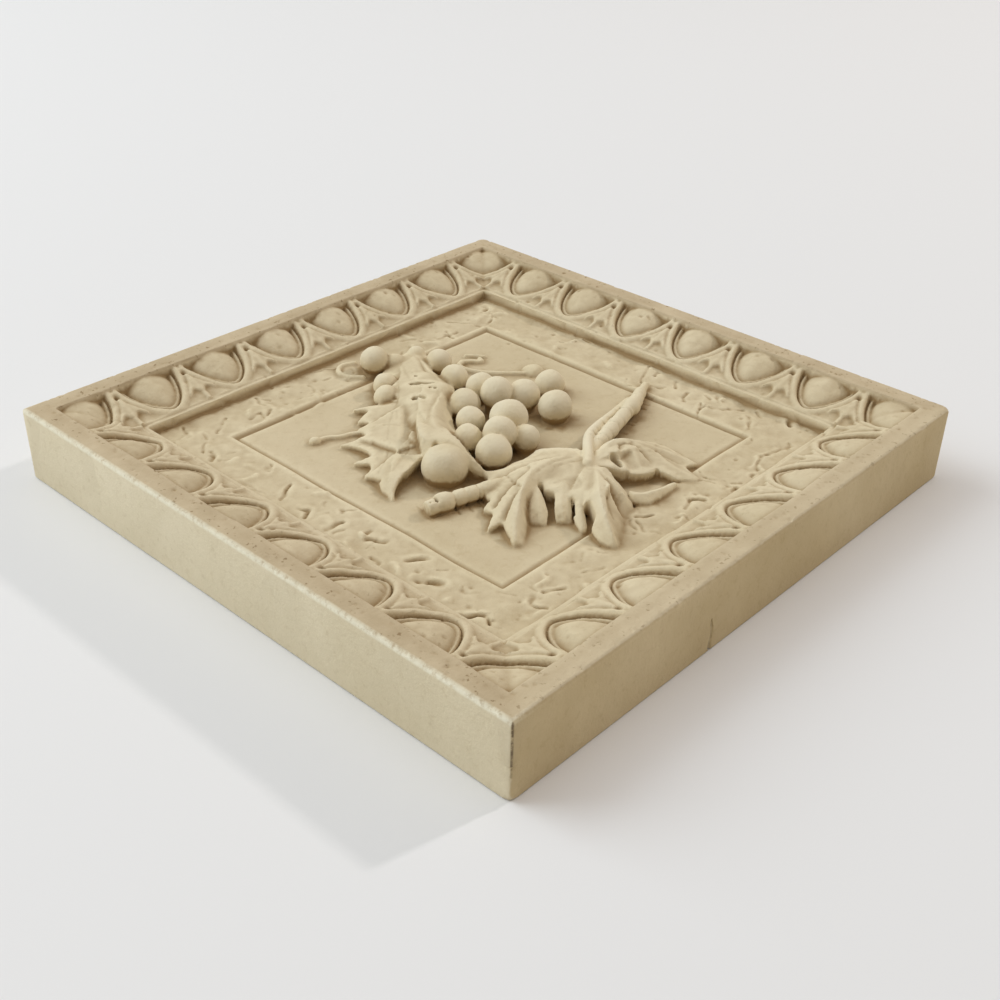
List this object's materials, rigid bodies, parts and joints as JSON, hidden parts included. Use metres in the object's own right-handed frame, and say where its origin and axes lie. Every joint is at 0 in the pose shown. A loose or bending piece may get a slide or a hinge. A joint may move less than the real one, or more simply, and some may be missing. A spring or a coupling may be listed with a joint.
{
  "type": "decorative wall plaque",
  "caption": "Square cast wall plaque with an egg-and-dart border round a sunk panel carved with a vine, leaves and a bunch of grapes.",
  "frame": {"origin": "centre of the flat back, which lies against the wall", "axes": "+Z out of the wall through the carved front, +Y up to the top edge as hung, +X to the right seen from the front"},
  "size_m": [0.2, 0.2, 0.0268],
  "materials": {
    "cast_plaster": "matte beige cast plaster, slightly worn and pitted"
  },
  "bodies": {
    "root": {"plaque": "cast_plaster"}
  },
  "joints": []
}
